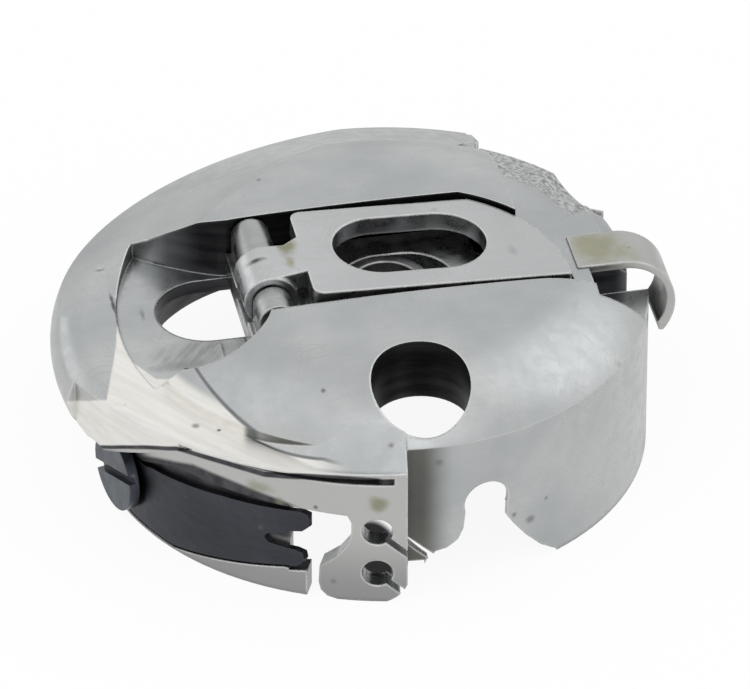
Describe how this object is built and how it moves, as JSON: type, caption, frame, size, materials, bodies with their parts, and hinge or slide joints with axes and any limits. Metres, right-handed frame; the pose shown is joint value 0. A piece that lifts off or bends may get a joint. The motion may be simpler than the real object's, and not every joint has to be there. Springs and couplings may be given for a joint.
{
  "type": "sewing machine bobbin case",
  "caption": "Domed steel cap bobbin case for a large rotary sewing hook, with a hinged latch lever on a sprung slide, a forked tension leaf and a position finger.",
  "frame": {"origin": "on the axis of the cup, in the plane of its open rim, where the case seats in the hook", "axes": "+Z along the cup's axis from the open rim to the domed top; +X along the latch from its hinge to the position finger; +Y to the side away from the thread tab"},
  "size_m": [0.0341, 0.0339, 0.0126],
  "materials": {
    "polished_steel": "hand-polished steel with fine scratches",
    "finger_steel": "polished steel with a brown heat tint at the braze",
    "sleeve_steel": "turned steel",
    "lever_steel": "polished steel",
    "pin_steel": "ground steel",
    "slide_steel": "ground steel",
    "spring_wire": "bright spring wire",
    "blued_spring": "dark blued spring steel",
    "blued_screw": "blued steel"
  },
  "bodies": {
    "case": {"case_body": "polished_steel", "position_finger": "finger_steel", "centre_sleeve": "sleeve_steel", "tension_spring": "blued_spring"},
    "slide": {"latch_slide": "slide_steel", "hinge_pin": "pin_steel", "slide_spring": "spring_wire"},
    "lever": {"latch_lever": "lever_steel"},
    "screw": {"tension_screw": "blued_screw"}
  },
  "joints": [
    {"name": "latch_slide_travel", "type": "slide", "parent": "case", "child": "slide", "axis": [-1, 0, 0], "range_m": [0, 0.0012], "deforming": ["slide_spring"]},
    {"name": "latch_lift", "type": "hinge", "parent": "slide", "child": "lever", "pos_m": [-0.00675, 0, 0.0111], "axis": [0, -1, 0], "range_deg": [0, 80]},
    {"name": "tension_turn", "type": "hinge", "parent": "case", "child": "screw", "pos_m": [-0.01503, -0.00417, 0.0027], "axis": [-0.9636, -0.2672, 0], "range_deg": [-90, 90]}
  ],
  "couplings": [
    {"joint": "latch_slide_travel", "follows": "latch_lift", "m_per_rad": 0.000859}
  ]
}
